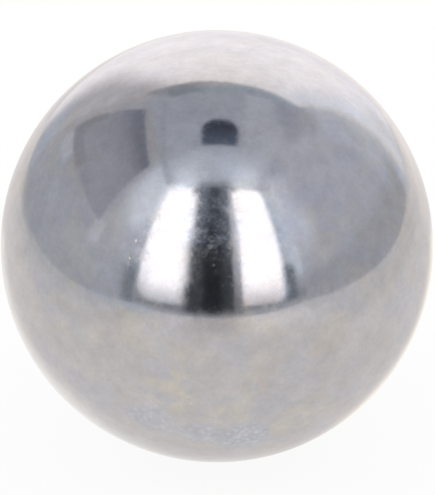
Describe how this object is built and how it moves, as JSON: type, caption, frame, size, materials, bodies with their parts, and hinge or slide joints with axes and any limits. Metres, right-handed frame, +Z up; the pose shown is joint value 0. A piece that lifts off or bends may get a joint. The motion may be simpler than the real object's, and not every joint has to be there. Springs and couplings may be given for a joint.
{
  "type": "steel ball",
  "caption": "Polished solid steel ball, a true sphere that rolls freely, seats in a cup or ring, and serves as a weight, valve ball or gauge.",
  "frame": {"origin": "centre of the ball", "axes": "+Z up, away from the point that the ball rests on; X and Y are any two level directions, since a ball has no front"},
  "size_m": [0.0254, 0.0254, 0.0254],
  "materials": {
    "steel": "bare hardened steel, lapped and polished to a mirror, with fine speckle and a few hairlines"
  },
  "bodies": {
    "root": {"ball": "steel"}
  },
  "joints": []
}
